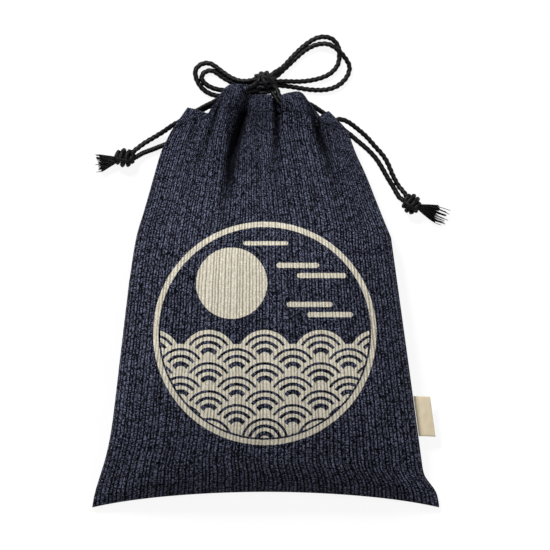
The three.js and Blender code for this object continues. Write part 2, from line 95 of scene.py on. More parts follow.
WAVE_ROWS = 7
WAVE_RINGS = ((11.4, 1.15), (7.3, 1.05), (1.6, 1.9))  # radius and half width of a wave's inner arcs
MIST_BARS = ((8, 30, 18.5, 1.5), (20, 46, 12.5, 1.5), (14, 38, -4.5, 1.5), (26, 50, -10.5, 1.5),
             (-12, 12, 31.5, 1.2))  # left end, right end, height and half width

# Camera, straight above, with the photograph's frame 330 mm wide on the floor
VIEW_CENTRE = (5.55, 12.8)
VIEW_WIDTH = 330
VIEW_HEIGHT = 2400
camera_data = bpy.data.cameras.new("camera")
camera_data.sensor_width = 36
camera_data.lens = camera_data.sensor_width * VIEW_HEIGHT / VIEW_WIDTH
camera_data.clip_end = 20
camera = bpy.data.objects.new("camera", camera_data)
camera.location = (VIEW_CENTRE[0] * MM, VIEW_CENTRE[1] * MM, VIEW_HEIGHT * MM)
bpy.context.collection.objects.link(camera)
bpy.context.scene.camera = camera
bpy.context.scene.view_settings.view_transform = "Standard"


# Small helpers
def mix(a, b, share):
    return a + (b - a) * share


def ramp(low, high, x):
    return np.clip((x - low) / (high - low), 0, 1)


def through(keys, place):
    """A smooth value through a few chosen pairs, the same curve as the part's."""
    table = np.array(keys, float)
    x = table[:, 0]
    y = table[:, 1]
    last = len(x) - 1
    p = np.clip(np.asarray(place, float), x[0], x[-1])
    i = np.clip(np.searchsorted(x, p, side="left") - 1, 0, last - 1)
    low = np.maximum(np.arange(last + 1) - 1, 0)
    high = np.minimum(np.arange(last + 1) + 1, last)
    slope = (y[high] - y[low]) / (x[high] - x[low])
    span = x[i + 1] - x[i]
    s = (p - x[i]) / span
    rise = 3 * s**2 - 2 * s**3
    leave = s * (1 - s) ** 2 * span * slope[i]
    arrive = s**2 * (s - 1) * span * slope[i + 1]
    return y[i] + (y[i + 1] - y[i]) * rise + leave + arrive


def link(name, mesh, slot, *nodes):
    """Puts a mesh made in millimetres into the scene, standing for its CAD nodes."""
    mesh.transform(Matrix.Scale(MM, 4))
    piece = bpy.data.objects.new(name, mesh)
    bpy.context.collection.objects.link(piece)
    for polygon in mesh.polygons:
        polygon.use_smooth = True
    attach(piece, "root")
    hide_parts(*nodes)
    return piece


def put_attribute(mesh, name, kind, values):
    """Gives each point of a mesh a value that its material reads."""
    layer = mesh.attributes.new(name, kind, "POINT")
    field = "value" if kind == "FLOAT" else "vector"
    layer.data.foreach_set(field, np.asarray(values, np.float32).ravel())


# The pouch's surfaces, by the part's formulas, with a mouth laid a little nearer the photo
GATHER_LEFT = [(0.6, 0), (0.72, 0.035), (0.79, 0.127), (0.85, 0.21), (0.92, 0.318),
               (0.955, 0.396), (1, 0.572)]
GATHER_RIGHT = [(0.72, 0), (0.82, 0.18), (0.885, 0.31), (0.955, 0.5), (1, 0.6)]
BUNCH = [(-1, -1), (-0.74, -0.72), (-0.66, -0.64), (-0.6, -0.6), (-0.24, -0.21), (0.18, 0.17),
         (0.22, 0.24), (0.63, 0.77), (0.72, 0.82), (1, 1)]
SLIT_LINE = [(-1, 98.5), (-0.85, 103), (-0.74, 106.2), (-0.6, 107), (-0.43, 110), (-0.24, 110),
             (0, 108), (0.2, 108.5), (0.42, 107), (0.62, 101.5), (0.7, 102.5), (0.8, 101),
             (1, 98.5)]
SEAM_RISE = [(0, 0), (0.12, 0.5), (0.35, 1), (0.65, 0.92), (1, 0.5)]
# Slits between the front's tabs, from and to, as shares across
SLITS = [(-0.66, -0.6), (-0.235, -0.23), (0.18, 0.22), (0.63, 0.68)]
# The line along which each tab ends: share across, x and y
FRONT_FOLD = [
    [(-1, -46.5, 113), (-0.87, -41.5, 111.8), (-0.74, -36.8, 110.2), (-0.66, -29.6, 107.6)],
    [(-0.6, -27.6, 120), (-0.53, -24.2, 124.4), (-0.44, -20.5, 126.3), (-0.235, -10.2, 126.5)],
    [(-0.23, -13, 120.8), (0.18, 3.6, 120.8)],
    [(0.22, 9.4, 120.4), (0.32, 14, 121.6), (0.5, 21.4, 121.5), (0.63, 26.6, 114.8)],
    [(0.68, 28.4, 104.6), (0.74, 30, 106), (0.8, 32, 107.6), (0.9, 34.8, 109.6), (1, 37.6, 110.9)],
]
BACK_FOLD = [[(-1, -46, 112.2), (-0.87, -41.5, 111), (-0.74, -36.8, 109), (-0.66, -31.5, 107),
              (-0.6, -26, 114), (-0.44, -20.5, 119), (-0.2, -8, 119), (0.2, 5, 119.3),
              (0.42, 15.5, 119.4), (0.63, 24, 116), (0.72, 29.5, 107), (0.8, 33.6, 106.6),
              (0.9, 36.8, 107.2), (1, 40, 106.4)]]
# Height of the front tabs' ends: share across and height
FRONT_MOUTH = [
    [(-1, 14), (-0.87, 14.4), (-0.74, 14.8), (-0.66, 17)],
    [(-0.6, 22), (-0.43, 24), (-0.235, 20)],
    [(-0.23, 12.8), (-0.12, 14.8), (0.18, 14.6)],
    [(0.22, 19.5), (0.42, 23), (0.63, 19.5)],
    [(0.68, 15), (0.74, 15), (0.8, 14.2), (1, 14)],
]
FOLD_KEYS = [(-1, 9), (-0.9, 13), (-0.7, 14.6), (-0.61, 16.2), (-0.5, 21), (-0.43, 23),
             (-0.34, 21), (-0.24, 13.8), (-0.12, 14), (0.08, 14), (0.19, 13.8), (0.3, 19),
             (0.42, 22), (0.54, 20), (0.65, 13.8), (0.8, 14), (0.93, 12.5), (1, 9)]
BELLY_RISE = [(0, 0), (0.035, 0.36), (0.09, 0.62), (0.2, 0.88), (0.4, 1), (0.62, 0.93),
              (0.82, 0.62), (1, 0.3)]
LEFT_SIDE = (EAR_LEFT, EAR_LENGTH_LEFT, EAR_CURVE_LEFT, TAPER_LEFT, MOUTH_LEFT, GATHER_LEFT)
RIGHT_SIDE = (EAR_RIGHT, EAR_LENGTH_RIGHT, EAR_CURVE_RIGHT, TAPER_RIGHT, MOUTH_RIGHT,
              GATHER_RIGHT)


def side_at(t, side):
    """Half width on one side, at a height from 0 at the bottom to 1 at the slits."""
    ear, ear_length, ear_curve, taper, mouth, gather = side
    up = t * POUCH_LENGTH
    plain = BOTTOM_WIDTH / 2 - ear - taper * up
    corner = ear * np.exp(-((up / ear_length) ** ear_curve))
    drawn = through(gather, t)
    return (plain + corner) * (1 - drawn) + mouth * drawn


def body_plan(u, t):
    """Seen from above, x and y of the cloth at u, -1 to 1 across, and t, 0 to 1 up."""
    left = -side_at(t, LEFT_SIDE)
    right = side_at(t, RIGHT_SIDE)
    low = BOTTOM_Y + BOTTOM_BOW * (1 - np.abs(u) ** BOTTOM_POWER)
    high = BOTTOM_Y + POUCH_LENGTH + through(SLIT_LINE, u) - SLIT_LINE[0][1]
    belly = np.sin(u * BELLY_ARC) / math.sin(BELLY_ARC)
    spread = mix(belly, through(BUNCH, u), ramp(0.5, 1, t) ** 2)
    return (left + right) / 2 + spread * (right - left) / 2, mix(low, high, t)


def seam_at(u, t):
    """Height at which the two panels meet, at the sides and along the bottom."""
    floor = CLOTH + CLEARANCE
    side = floor + (SEAM_HEIGHT - floor) * through(SEAM_RISE, t)
    return side + BOTTOM_LIFT * np.abs(1 - u * u) ** 0.7 * (1 - t) ** 6


def front_inside(u, t):
    """Height of the front panel's inner face: a belly, drawn in to the mouth."""
    across = np.abs(1 - np.abs(u) ** BELLY_POWERS[0]) ** BELLY_POWERS[1]
    belly = seam_at(u, t) + BELLY_HEIGHT * through(BELLY_RISE, t) * across
    keys = through(FOLD_KEYS, u)
    gathered = keys + np.maximum(CORNER_LIFT - keys, 0) * ramp(SIDE_SLIT, 1, t)
    return mix(belly, gathered, ramp(DRAWN_FROM, 1, t) ** 1.8) + CLEARANCE / 2


def back_outside(u, t):
    """Height of the back panel's outer face, flat where the pouch rests on it."""
    flat = (1 - ramp(0.5, 1, np.abs(u)) ** 2) * (1 - ramp(0.16, 0, t) ** 2)
    seam = seam_at(u, t) - CLEARANCE / 2 - CLOTH
    return mix(seam * (1 - flat), BACK_MOUTH, ramp(SIDE_SLIT, 1, t))


# Ribs: dark grooves about every 5 mm with finer ones between, at uneven distances
RIB_REACH = 125
RIB_STEP = (4.2, 5.4)
RIB_WIDTH = 0.5
FINE_WIDTH = 0.46
FINE = np.arange(-RIB_REACH, RIB_REACH, 0.02)


def rib_profile():
    """Depth of the grooves along a line across the cloth."""
    groove = np.zeros_like(FINE)
    place = 1.0 - RIB_REACH
    while place < RIB_REACH - 1:
        step = rng.uniform(*RIB_STEP)
        deep = rng.uniform(0.85, 1.0)
        groove += deep * np.exp(-(((FINE - place) / RIB_WIDTH) ** 2))
        fine = place + step * (0.5 + rng.uniform(-0.06, 0.06))
        groove += rng.uniform(0.5, 0.85) * np.exp(-(((FINE - fine) / FINE_WIDTH) ** 2))
        place += step
    return np.clip(groove, 0, 1)


RIBS = rib_profile()
WANDER = [(rng.uniform(0.02, 0.2), rng.uniform(-0.12, 0.12), rng.uniform(0, 6.3)) for _ in range(9)]


def rib_at(w, v):
    """Depth of the rib grooves, 0 to 1, where w runs across the cloth and v along it."""
    shift = np.zeros_like(w)
    for along, across, phase in WANDER:
        shift += 0.06 * np.sin(along * v * 2 + across * w + phase)
    broken = 0.78 + 0.22 * np.sin(0.9 * v + 3.1 * np.sin(0.7 * w) + 1.7 * np.sin(0.23 * v))
    return np.interp(w + shift, FINE, RIBS) * broken


# Creases of the front, each a line seen from above, a depth (a ridge's is negative) and a width
PLEAT = 1.5  # width of a short pleat
CREASES = [
    ([(-12.5, 112), (-16.5, 98), (-20, 84), (-22.7, 64), (-26, 40)], 9, 2.9),
    ([(29.6, 106), (33.2, 91.4), (37, 82), (44.6, 58)], 8, 2.7),
    ([(-29, 109), (-34, 95), (-42, 76), (-50, 54)], 4.6, 2.6),
    ([(7, 112), (7, 98), (6, 80), (4, 56)], 5.5, 2.3),
    ([(-23, 120), (-27.5, 96), (-31, 76), (-34, 54)], -3, 4),
    ([(20, 118), (24, 96), (30, 76), (35, 56)], -3, 4.5),
    ([(-41, 104), (-45, 92), (-50, 78)], 1.8, PLEAT),
    ([(-25, 114), (-27.5, 98), (-33, 80)], 1.6, PLEAT),
    ([(-20.5, 117), (-22, 100), (-26, 82)], 1.2, PLEAT),
    ([(-5.5, 114), (-6.5, 98), (-9, 78)], 1.3, PLEAT),
    ([(0.5, 114), (0, 98), (-1.5, 76)], 1.5, PLEAT),
    ([(14.5, 114), (15.5, 98), (17, 78)], 1.4, PLEAT),
    ([(20, 113), (22.5, 98), (26, 80)], 1.6, PLEAT),
    ([(25, 108), (28, 96), (32, 80)], 1.2, PLEAT),
    ([(34.5, 103), (40, 92), (48, 78)], 1.6, PLEAT),
    ([(100, -116), (86, -104), (70, -96)], 1.6, 5),
    ([(-100, -116), (-88, -102), (-72, -95)], 1.6, 5),
]
# Places in the shade of the humps beside them, written in the same way; their shade is only painted
# into the colour
SHADOWS = [
    ([(-4, 124), (-4, 106), (-5, 90)], 3.6, 6.5),
    ([(-14, 112), (-17, 96), (-21, 76), (-24, 56)], 2.5, 5),
]


def soft_dent(x, y, line, depth, width):
    """A soft crease along a line of points seen from above, fading towards its end."""
    best = np.full(x.shape, 1e9)
    fade = np.zeros(x.shape)
    total = len(line) - 1
    for i in range(total):
        (ax, ay), (bx, by) = line[i], line[i + 1]
        length = (bx - ax) ** 2 + (by - ay) ** 2
        s = np.clip(((x - ax) * (bx - ax) + (y - ay) * (by - ay)) / length, 0, 1)
        far = np.hypot(x - ax - s * (bx - ax), y - ay - s * (by - ay))
        near = far < best
        best = np.where(near, far, best)
        fade = np.where(near, 1 - (i + s) / total, fade)
    reach = width * (0.7 + 0.9 * (1 - fade))
    return depth * fade**0.8 * np.exp(-((best / reach) ** 2))


def dents(x, y, creases):
    """Depth of several creases together."""
    return sum(soft_dent(x, y, line, depth, width) for line, depth, width in creases)


def relief(x, y, t):
    """Soft folds in the front, in millimetres, and the painted shade of each point, 0 to 1, from how
    deep in a fold it lies and from the humps' shadows.
    """
    dent = dents(x, y, CREASES)
    swell = 0.5 * np.sin(x / 13 + 0.8 * np.sin(y / 31)) * np.sin(y / 37 + 0.5)
    flutes = 0.6 * np.sin(x / 1.3 + 0.5 * np.sin(y / 9)) * ramp(0.78, 1, t)
    return swell + flutes - dent, np.clip((dent + dents(x, y, SHADOWS)) / FOLD_SHADE_DEPTH, 0, 1)


# Grid of one panel: rows of points from the bottom edge up to the slits, then round each tab
TAB_ROWS = 9
FOLD_STEPS = 8
HEM_SHARES = (0, 0.25, 0.5, 0.7, 0.85, 1)
ROW_SPREAD = 1.15  # above 1, rows of points lie closer near the bottom edge
TAB_SWELL = 0.3
CREPE_DEPTH = 0.08
PAINTED_SHADE_FADE = 4  # millimetres up a tab over which the painted shade of a deep fold fades


def columns(front, per_unit):
    """Places across the cloth, -1 to 1, and the tab that each belongs to, -1 for none."""
    slits = SLITS if front else []
    edges = [-1] + [edge for slit in slits for edge in slit] + [1]
    ups = []
    tabs = []
    for part in range(len(edges) - 1):
        tab = part // 2 if part % 2 == 0 else -1
        count = max(int(round((edges[part + 1] - edges[part]) * per_unit)), 2)
        span = np.linspace(edges[part], edges[part + 1], count + 1)
        if tab == -1:
            span = span[1:-1]
        ups.append(span)
        tabs.append(np.full(len(span), tab))
    return np.concatenate(ups), np.concatenate(tabs)


def row_pair(x, y, out_z, in_z):
    """A row of points on the cloth's outer face and one on its inner face."""
    return np.stack([x, y, out_z], 1), np.stack([x, y, in_z], 1)


def body_part(front, u, count):
    """Rows from the bottom edge to the foot of the slits, and the painted shade of their folds."""
    rows = []
    painted_fold_shades = []
    for row in range(count + 1):
        t = (row / count) ** ROW_SPREAD
        x, y = body_plan(u, t)
        if front:
            # deep: how dark the painted shade of the folds is here, 0 to 1
            raised, deep = relief(x, y, np.full(x.shape, t))
            z = np.maximum(front_inside(u, t) + raised, seam_at(u, t) + CLEARANCE / 2)
            rows.append(row_pair(x, y, z + CLOTH, z))
        else:
            deep = 0 * u
            z = back_outside(u, t)
            rows.append(row_pair(x, y, z, z + CLOTH))
        painted_fold_shades.append(deep)
    return rows, painted_fold_shades


def tab_tips(front, u, tab, base_z):
    """Where each tab ends, seen from above, and the height of its inner face there."""
    base_x, base_y = body_plan(u, 1.0)
    tip_x = base_x.copy()
    tip_y = base_y + 1.0
    end_z = np.full(u.shape, BACK_MOUTH + CLOTH)
    for index, fold in enumerate(FRONT_FOLD if front else BACK_FOLD):
        here = tab == index
        tip_x[here] = through([(k, x) for k, x, y in fold], u[here])
        tip_y[here] = through([(k, y) for k, x, y in fold], u[here])
        if front:
            end_z[here] = through(FRONT_MOUTH[index], u[here])
    if front:
        end_z = np.where(tab < 0, base_z, end_z)
    return tip_x, tip_y, end_z


def tab_part(front, u, tab, base_z):
    """Rows of the tabs: up to the crease, round it, and back down to the hem."""
    sign = 1 if front else -1
    base_x, base_y = body_plan(u, 1.0)
    tip_x, tip_y, end_z = tab_tips(front, u, tab, base_z)
    far = np.hypot(tip_x - base_x, tip_y - base_y)
    ax = (tip_x - base_x) / far
    ay = (tip_y - base_y) / far
    radius = CHANNEL / 2
    crease_x = tip_x - (radius + CLOTH) * ax
    crease_y = tip_y - (radius + CLOTH) * ay
    rows = []
    for row in range(1, TAB_ROWS + 1):
        share = row / TAB_ROWS
        x = mix(base_x, crease_x, share)
        y = mix(base_y, crease_y, share)
        z = mix(base_z, end_z, share) + sign * TAB_SWELL * math.sin(math.pi * share)
        rows.append(row_pair(x, y, z + sign * CLOTH, z))
    middle = end_z - sign * radius
    for step in range(1, FOLD_STEPS):
        angle = math.pi * step / FOLD_STEPS
        pair = []
        for r in (radius + CLOTH, radius):
            x = crease_x + r * math.sin(angle) * ax
            y = crease_y + r * math.sin(angle) * ay
            pair.append(np.stack([x, y, middle + sign * r * math.cos(angle)], 1))
        rows.append(pair)
    length = np.hypot(crease_x - base_x, crease_y - base_y)
    for share in HEM_SHARES:
        back = share * (CASING - radius)
        above = np.where(length > back, mix(end_z, base_z, back / length), base_z)
        room = mix(CHANNEL, CLEARANCE, ramp(0.7, 1, share) ** 2)
        z = above - sign * room
        rows.append(row_pair(crease_x - back * ax, crease_y - back * ay, z - sign * CLOTH, z))
    return rows


def with_ribs(front, u, outer, rib_depth):
    """The outer face with ribs and crepe, how deep its grooves are, and its own two measures."""
    sign = 1 if front else -1
    v = np.cumsum(np.linalg.norm(np.diff(outer, axis=1, prepend=outer[:, :1]), axis=2), 1)
    w = np.repeat(BOTTOM_WIDTH / 2 * np.sin(u * BELLY_ARC) / math.sin(BELLY_ARC), outer.shape[1])
    w = w.reshape(outer.shape[:2])
    rib = rib_at(w, v)
    across = np.gradient(outer, axis=0)
    along = np.gradient(outer, axis=1)
    normal = np.cross(across, along) * sign
    normal /= np.maximum(np.linalg.norm(normal, axis=2, keepdims=True), 1e-9)
    crepe = CREPE_DEPTH * np.sin(2.1 * w + 1.3 * np.sin(0.8 * v))
    crepe = crepe * np.sin(1.1 * v + 2 * np.sin(0.3 * w))
    raised = (crepe - rib_depth * rib) * np.minimum(1, v / 2)
    return outer + normal * raised[:, :, None], rib, w, v


def cloth_grid(front, columns_per_unit, body_rows, rib_depth):
    """Matching outer and inner points of one panel, and what is needed to mesh them."""
    u, tab = columns(front, columns_per_unit)
    rows, painted_fold_shades = body_part(front, u, body_rows)
    rows += tab_part(front, u, tab, rows[-1][1][:, 2])
    outer, inner = [np.stack(face, 1) for face in zip(*rows)]
    outer, rib, w, v = with_ribs(front, u, outer, rib_depth)
    casing = v - v[:, body_rows : body_rows + 1]
    # painted shade of the folds, fading up the tabs
    fold = np.exp(-np.maximum(casing, 0) / PAINTED_SHADE_FADE) * painted_fold_shades[-1][:, None]
    fold[:, : body_rows + 1] = np.stack(painted_fold_shades, 1)
    return outer, inner, tab, (rib, w, v, casing, fold), body_rows


def cloth_mesh(name, grid, front):
    """Closes a panel's two faces along all its edges, and leaves the slits open."""
    outer, inner, tab, values, body_rows = grid
    wide, tall = outer.shape[:2]
    present = np.zeros((wide + 1, tall + 1), bool)
    same = (tab[:-1] == tab[1:]) & (tab[:-1] >= 0)
    present[1:wide, 1 : body_rows + 1] = True
    present[1:wide, body_rows + 1 : tall] |= same[:, None]
    faces = []
    size = wide * tall
    c, r = np.nonzero(present[1:wide, 1:tall])
    a = c * tall + r
    quads = np.stack([a, a + tall, a + tall + 1, a + 1], 1)
    faces.append(quads)
    faces.append(quads[:, ::-1] + size)
    sides = [((0, -1), (a, a + tall)), ((1, 0), (a + tall, a + tall + 1)),
             ((0, 1), (a + tall + 1, a + 1)), ((-1, 0), (a + 1, a))]
    for (dc, dr), (p, q) in sides:
        open_side = ~present[c + 1 + dc, r + 1 + dr]
        p = p[open_side]
        q = q[open_side]
        faces.append(np.stack([p, p + size, q + size, q], 1))
    faces = np.concatenate(faces)
    if not front:
        faces = faces[:, ::-1]
    points = np.concatenate([outer.reshape(-1, 3), inner.reshape(-1, 3)])
    used = np.zeros(len(points), bool)
    used[faces.ravel()] = True
    number = np.cumsum(used) - 1
    mesh = bpy.data.meshes.new(name)
    mesh.from_pydata(points[used].tolist(), [], number[faces].tolist())
    rib, w, v, casing, fold = (np.concatenate([value.ravel()] * 2)[used] for value in values)
    put_attribute(mesh, "rib", "FLOAT", rib)
    put_attribute(mesh, "casing", "FLOAT", casing)
    # fold: painted shade in the creases and in the shadows of the humps
    put_attribute(mesh, "fold", "FLOAT", fold)
    put_attribute(mesh, "cloth", "FLOAT_VECTOR", np.stack([w, v, 0 * w], 1))
    return mesh


# Materials
def material(name):
    made = bpy.data.materials.new(name)
    made.use_nodes = True
    return made, made.node_tree, made.node_tree.nodes["Principled BSDF"]


class Nodes:
    """Short calls that add a node to a tree and link what goes into it."""

    def __init__(self, tree):
        self.tree = tree

    def put(self, socket, value):
        if isinstance(value, bpy.types.NodeSocket):
            self.tree.links.new(value, socket)
        else:
            socket.default_value = value

    def math(self, operation, *values):
        node = self.tree.nodes.new("ShaderNodeMath")
        node.operation = operation
        for socket, value in zip(node.inputs, values):
            self.put(socket, value)
        return node.outputs[0]

    def attribute(self, name, vector=False):
        node = self.tree.nodes.new("ShaderNodeAttribute")
        node.attribute_name = name
        return node.outputs["Vector" if vector else "Fac"]

    def noise(self, vector, scale, detail=2.0, roughness=0.5):
        """Soft noise, with about one lump to a unit of the scaled vector."""
        mapping = self.tree.nodes.new("ShaderNodeMapping")
        self.put(mapping.inputs["Vector"], vector)
        mapping.inputs["Scale"].default_value = scale
        node = self.tree.nodes.new("ShaderNodeTexNoise")
        self.put(node.inputs["Vector"], mapping.outputs[0])
        node.inputs["Scale"].default_value = 1.0
        node.inputs["Detail"].default_value = detail
        node.inputs["Roughness"].default_value = roughness
        return node.outputs["Fac"]

    def cells(self, vector, size):
        """One random value, 0 to 1, for each small cell of the cloth."""
        snap = self.tree.nodes.new("ShaderNodeVectorMath")
        snap.operation = "SNAP"
        self.tree.links.new(vector, snap.inputs[0])
        snap.inputs[1].default_value = size
        white = self.tree.nodes.new("ShaderNodeTexWhiteNoise")
        white.noise_dimensions = "2D"
        self.tree.links.new(snap.outputs["Vector"], white.inputs["Vector"])
        return white.outputs["Value"]

    def between(self, value, low, high, to_low=0.0, to_high=1.0):
        node = self.tree.nodes.new("ShaderNodeMapRange")
        self.put(node.inputs["Value"], value)
        node.inputs["From Min"].default_value = low
        node.inputs["From Max"].default_value = high
        node.inputs["To Min"].default_value = to_low
        node.inputs["To Max"].default_value = to_high
        return node.outputs[0]

    def blend(self, share, a, b):
        node = self.tree.nodes.new("ShaderNodeMix")
        node.data_type = "RGBA"
        self.put(node.inputs[0], share)
        self.put(node.inputs[6], a)
        self.put(node.inputs[7], b)
        return node.outputs[2]

    def bump(self, height, distance, normal=None):
        node = self.tree.nodes.new("ShaderNodeBump")
        node.inputs["Strength"].default_value = 1.0
        node.inputs["Distance"].default_value = distance
        self.put(node.inputs["Height"], height)
        if normal is not None:
            self.put(node.inputs["Normal"], normal)
        return node.outputs[0]

    def place_mm(self):
        """X and Y of the shaded point, in millimetres."""
        node = self.tree.nodes.new("ShaderNodeTexCoord")
        parts = self.tree.nodes.new("ShaderNodeSeparateXYZ")
        self.tree.links.new(node.outputs["Object"], parts.inputs[0])
        return [self.math("DIVIDE", parts.outputs[i], MM) for i in (0, 1)]


def linear(srgb):
    """A colour read from 0 to 255 as it shows, in the values that shaders take."""
    values = [s / 255 for s in srgb]
    return tuple(v / 12.92 if v < 0.04045 else ((v + 0.055) / 1.055) ** 2.4 for v in values) + (1,)


def distance(n, x, y, cx, cy):
    """How far a place is from a centre, as nodes."""
    dx = n.math("SUBTRACT", x, cx)
    dy = n.math("SUBTRACT", y, cy)
    return n.math("SQRT", n.math("ADD", n.math("MULTIPLY", dx, dx), n.math("MULTIPLY", dy, dy)))


def band(n, value, middle, half):
    """1 where a value is within half of middle."""
    return n.math("LESS_THAN", n.math("ABSOLUTE", n.math("SUBTRACT", value, middle)), half)


def print_mask(n, x, y):
    """Ring, rows of overlapping round waves, a full moon and bars of mist: 1 where ink lies."""
    cx, cy = PRINT_CENTRE
    out = distance(n, x, y, cx, cy)
    ring = band(n, out, PRINT_RADIUS - RING_WIDTH / 2, RING_WIDTH / 2)
    waves = 0.0
    for row in range(WAVE_ROWS):
        wy = WAVE_TOP - row * WAVE_RADIUS / 2
        shift = 0 if row % 2 == 0 else WAVE_RADIUS
        dx = n.math("WRAP", n.math("SUBTRACT", x, cx + shift), WAVE_RADIUS, -WAVE_RADIUS)
        dy = n.math("SUBTRACT", y, wy)
        squares = n.math("ADD", n.math("MULTIPLY", dx, dx), n.math("MULTIPLY", dy, dy))
        r = n.math("SQRT", squares)
        lines = band(n, r, WAVE_RADIUS - WAVE_LINE / 2, WAVE_LINE / 2)
        for middle, half in WAVE_RINGS:
            lines = n.math("MAXIMUM", lines, band(n, r, middle, half))
        inside = n.math("LESS_THAN", r, WAVE_RADIUS)
        kept = n.math("MULTIPLY", waves, n.math("SUBTRACT", 1.0, inside))
        waves = n.math("ADD", kept, n.math("MULTIPLY", inside, lines))
    within = n.math("LESS_THAN", out, PRINT_RADIUS - RING_WIDTH - WAVE_MARGIN)
    moon = n.math("LESS_THAN", distance(n, x, y, *MOON_CENTRE), MOON_RADIUS)
    ink = n.math("MAXIMUM", n.math("MULTIPLY", waves, within), moon)
    for low, high, level, half in MIST_BARS:
        near = n.math("MINIMUM", n.math("MAXIMUM", x, float(low)), float(high))
        away = distance(n, x, y, near, level)
        gap = n.math("SUBTRACT", 1.0, n.math("LESS_THAN", away, half + MIST_GAP))
        bar = n.math("LESS_THAN", away, float(half))
        ink = n.math("MAXIMUM", n.math("MULTIPLY", ink, gap), bar)
    return n.math("MAXIMUM", ink, ring)


# Colours as they show, 0 to 255: the dark and the light end of each thing's range
NAVY = ((1, 1, 3), (120, 125, 151))
# the grooves' own dark, also used for painted shade in the folds and along the sewn line
NAVY_GROOVE_AND_SHADE = (2, 2, 5)
CREAM = ((216, 208, 188), (250, 244, 228))
CREAM_SHADE = (96, 90, 80)
# the cord's dark end is painted shade between the braid's strands
CORD_BLACK = ((1, 1, 2), (20, 20, 24))
TAPE = ((226, 204, 166), (255, 247, 222))
TAPE_SHADE = (184, 160, 122)
CREPE_KNOB = (0.8, 0.62, 1)  # width and length of one lump of the crepe, in millimetres


def cloth_material(printed):
    """Crepe cotton with dark grooves, a sewn line drawn as painted shade, painted shade in its folds
    and, where printed, pale ink.
    """
    made, tree, shader = material("printed_cotton" if printed else "ribbed_cotton")
    n = Nodes(tree)
    rib = n.attribute("rib")
    place = n.attribute("cloth", vector=True)
    flecks = n.noise(place, (1.3, 1.05, 1), 1.0, 0.55)
    threads = n.noise(place, (2.8, 2.0, 1), 2.0, 0.7)
    broad = n.noise(place, (0.03, 0.02, 1))
    wales = n.noise(place, (0.42, 0.02, 1), 1.0)
    groove = n.between(n.math("ADD", rib, n.math("MULTIPLY", threads, 0.12)), 0.16, 0.5)
    knobs = n.cells(place, CREPE_KNOB)
    light = n.math("POWER", n.math("MULTIPLY", n.between(flecks, 0.4, 0.6, 0.9, 1.12), knobs), 2.2)
    tone = n.math("MULTIPLY", n.between(broad, 0.3, 0.7, 0.88, 1.1),
                  n.between(wales, 0.35, 0.65, 0.8, 1.12))
    crepe = n.math("MULTIPLY", light, tone)
    navy = n.blend(crepe, linear(NAVY[0]), linear(NAVY[1]))
    # a dark band along the casing's sewn line: painted shade of the seam
    seam_shade = band(n, n.attribute("casing"), STITCH_LINE, STITCH_WIDTH / 2)
    shade = n.math("MAXIMUM", n.math("MULTIPLY", groove, 0.95), n.math("MULTIPLY", seam_shade, 0.75))
    # painted shade in the creases and beside the humps, from the fold attribute
    shade = n.math("MAXIMUM", shade, n.math("MULTIPLY", n.attribute("fold"), 0.92))
    colour = n.blend(shade, navy, linear(NAVY_GROOVE_AND_SHADE))
    if printed:
        x, y = n.place_mm()
        blur = n.noise(place, (1.2, 1.2, 1))
        off = n.math("MULTIPLY", n.math("SUBTRACT", blur, 0.5), 0.9)
        mask = print_mask(n, n.math("ADD", x, off), n.math("SUBTRACT", y, off))
        facing = tree.nodes.new("ShaderNodeNewGeometry")
        parts = tree.nodes.new("ShaderNodeSeparateXYZ")
        tree.links.new(facing.outputs["True Normal"], parts.inputs[0])
        upward = n.math("GREATER_THAN", parts.outputs[2], 0.0)
        mask = n.math("MULTIPLY", mask, upward)
        cream = n.blend(light, linear(CREAM[0]), linear(CREAM[1]))
        cream = n.blend(n.math("MULTIPLY", groove, 0.62), cream, linear(CREAM_SHADE))
        colour = n.blend(mask, colour, cream)
    tree.links.new(colour, shader.inputs["Base Color"])
    shader.inputs["Roughness"].default_value = 0.92
    shader.inputs["Specular IOR Level"].default_value = 0.04
    shader.inputs["Sheen Weight"].default_value = 0.012
    shader.inputs["Sheen Roughness"].default_value = 0.3
    weave = n.bump(threads, 0.35 * MM)
    fleck_bump = n.bump(flecks, 0.5 * MM, normal=weave)
    tree.links.new(fleck_bump, shader.inputs["Normal"])
    return made


def cord_material():
    """Nearly black cord, darkest between the strands of its braid, where shade is painted."""
    made, tree, shader = material("braided_cord")
    n = Nodes(tree)
    braid = n.attribute("braid")
    fuzz = n.noise(n.attribute("along", vector=True), (2, 2, 2), 3.0, 0.6)
    # darker where the braid is low, between its strands: painted shade
    share = n.between(n.math("ADD", braid, n.math("MULTIPLY", fuzz, 0.5)), 0.3, 1.3)
    colour = n.blend(share, linear(CORD_BLACK[0]), linear(CORD_BLACK[1]))
    tree.links.new(colour, shader.inputs["Base Color"])
    shader.inputs["Roughness"].default_value = 0.42
    shader.inputs["Specular IOR Level"].default_value = 0.2
    tree.links.new(n.bump(fuzz, 0.2 * MM), shader.inputs["Normal"])
    return made


def tag_material():
    """Pale woven tape with faint darker patches."""
    made, tree, shader = material("tag_tape")
    n = Nodes(tree)
    place = n.attribute("cloth", vector=True)
    weave = n.noise(place, (2.2, 5, 1))
    grain = n.noise(place, (0.15, 0.15, 1))
    colour = n.blend(weave, linear(TAPE[0]), linear(TAPE[1]))
    colour = n.blend(n.math("MULTIPLY", grain, 0.4), colour, linear(TAPE_SHADE))
    tree.links.new(colour, shader.inputs["Base Color"])
    shader.inputs["Roughness"].default_value = 0.85
    shader.inputs["Sheen Weight"].default_value = 0.05
    tree.links.new(n.bump(weave, 0.15 * MM), shader.inputs["Normal"])
    return made


